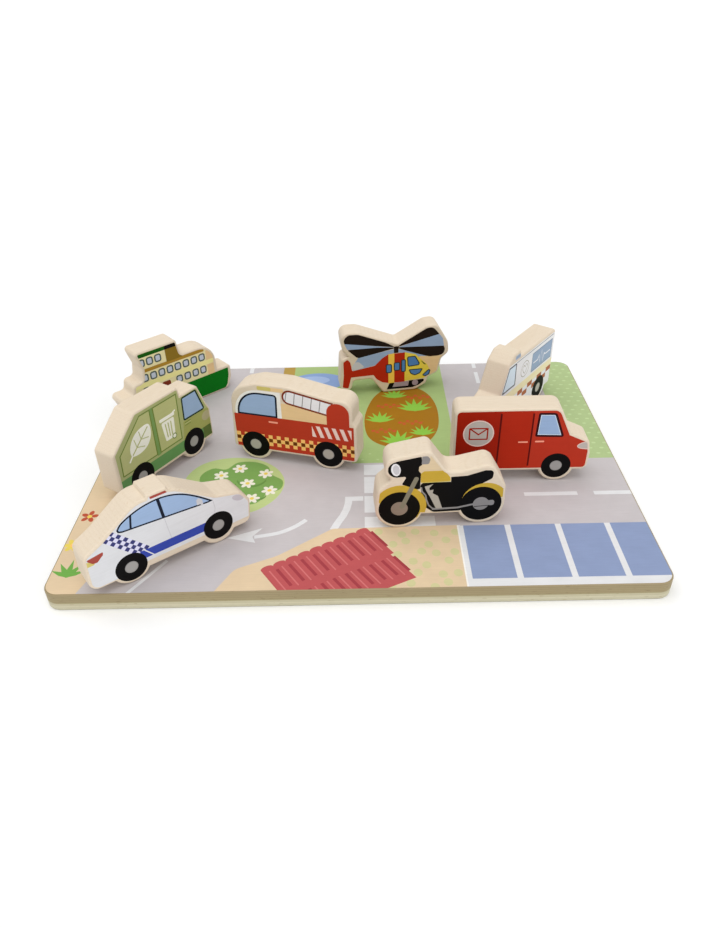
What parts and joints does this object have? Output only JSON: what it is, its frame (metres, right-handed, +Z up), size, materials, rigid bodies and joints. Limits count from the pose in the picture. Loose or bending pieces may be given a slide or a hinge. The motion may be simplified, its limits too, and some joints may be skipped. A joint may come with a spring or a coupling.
{
  "type": "peg puzzle",
  "caption": "Chunky wooden vehicle puzzle: a two-layer board with a road play scene on top and shaped pockets beneath, and loose thick blocks cut as vehicles that stand on it.",
  "frame": {"origin": "centre of the board's underside", "axes": "+X runs right along the board's length, +Y runs to the back edge, +Z up"},
  "size_m": [0.3045, 0.2284, 0.061],
  "materials": {
    "play_panel_wood": "printed, satin",
    "tray_wood": "plain, matte",
    "block_wood": "sanded, satin"
  },
  "bodies": {
    "board": {"play_panel": "play_panel_wood", "tray_layer": "tray_wood"},
    "ferry_block": {"ferry": "block_wood"},
    "recycling_truck_block": {"recycling_truck": "block_wood"},
    "police_car_block": {"police_car": "block_wood"},
    "fire_engine_block": {"fire_engine": "block_wood"},
    "helicopter_block": {"helicopter": "block_wood"},
    "ambulance_block": {"ambulance": "block_wood"},
    "red_van_block": {"red_van": "block_wood"},
    "motorcycle_block": {"motorcycle": "block_wood"}
  },
  "joints": [
    {"name": "ferry_lift", "type": "slide", "parent": "board", "child": "ferry_block", "axis": [0, 0, 1], "range_m": [0, 0.06]},
    {"name": "recycling_truck_lift", "type": "slide", "parent": "board", "child": "recycling_truck_block", "axis": [0, 0, 1], "range_m": [0, 0.06]},
    {"name": "police_car_lift", "type": "slide", "parent": "board", "child": "police_car_block", "axis": [0, 0, 1], "range_m": [0, 0.06]},
    {"name": "fire_engine_lift", "type": "slide", "parent": "board", "child": "fire_engine_block", "axis": [0, 0, 1], "range_m": [0, 0.06]},
    {"name": "helicopter_lift", "type": "slide", "parent": "board", "child": "helicopter_block", "axis": [0, 0, 1], "range_m": [0, 0.06]},
    {"name": "ambulance_lift", "type": "slide", "parent": "board", "child": "ambulance_block", "axis": [0, 0, 1], "range_m": [0, 0.06]},
    {"name": "red_van_lift", "type": "slide", "parent": "board", "child": "red_van_block", "axis": [0, 0, 1], "range_m": [0, 0.06]},
    {"name": "motorcycle_lift", "type": "slide", "parent": "board", "child": "motorcycle_block", "axis": [0, 0, 1], "range_m": [0, 0.06]}
  ]
}
